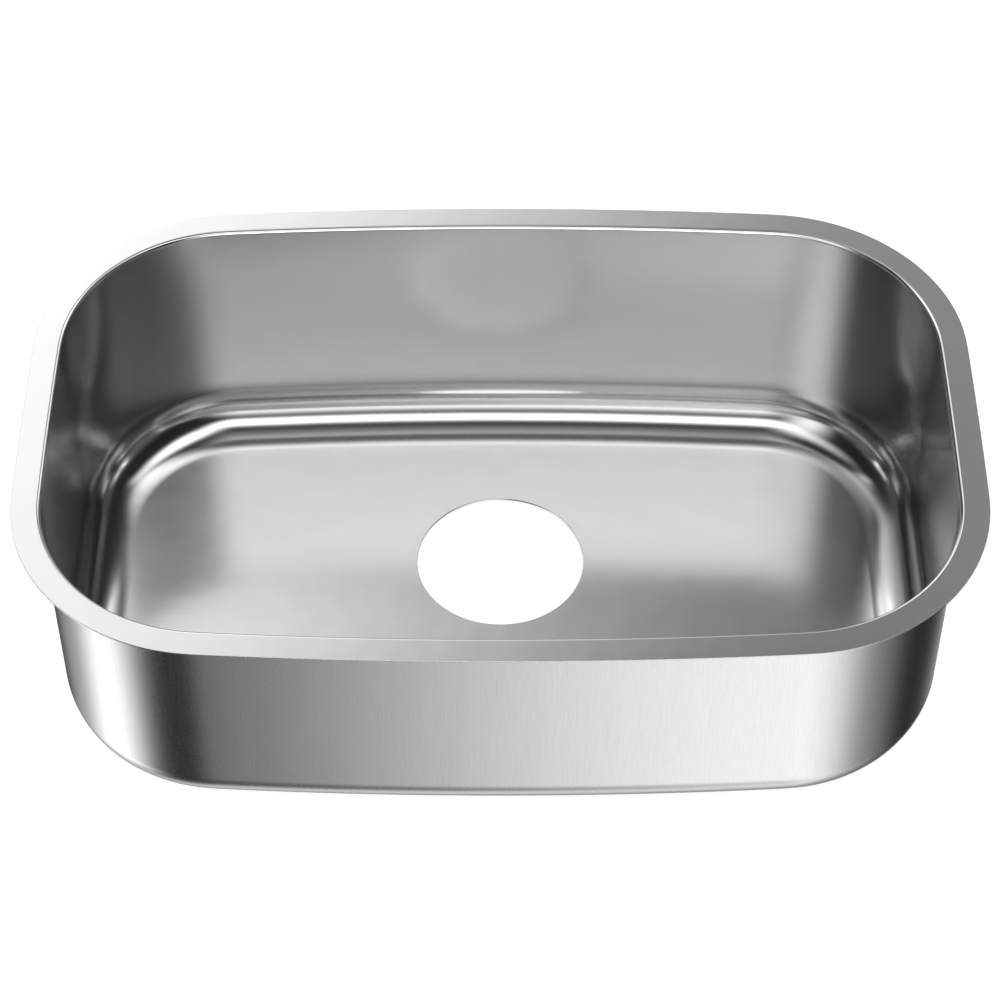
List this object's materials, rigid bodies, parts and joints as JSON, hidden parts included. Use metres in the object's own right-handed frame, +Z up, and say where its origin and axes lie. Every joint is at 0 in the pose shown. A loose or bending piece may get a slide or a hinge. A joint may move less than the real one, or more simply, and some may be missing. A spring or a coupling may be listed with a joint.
{
  "type": "undermount kitchen sink",
  "caption": "Undermount kitchen sink: deep-drawn stainless bowl with rounded corners, flat mounting flange, waste hole behind the middle and rubber sound pads below.",
  "frame": {"origin": "on the surface that the sink stands on, under the middle of the flange", "axes": "+Z up, +X along the sink's length, +Y to the rear, the side towards which the waste hole is set back"},
  "size_m": [0.61, 0.3958, 0.184],
  "materials": {
    "steel": "satin",
    "rubber": "matte"
  },
  "bodies": {
    "root": {"bowl": "steel", "left_sound_pad": "rubber", "right_sound_pad": "rubber", "front_sound_pad": "rubber"}
  },
  "joints": []
}
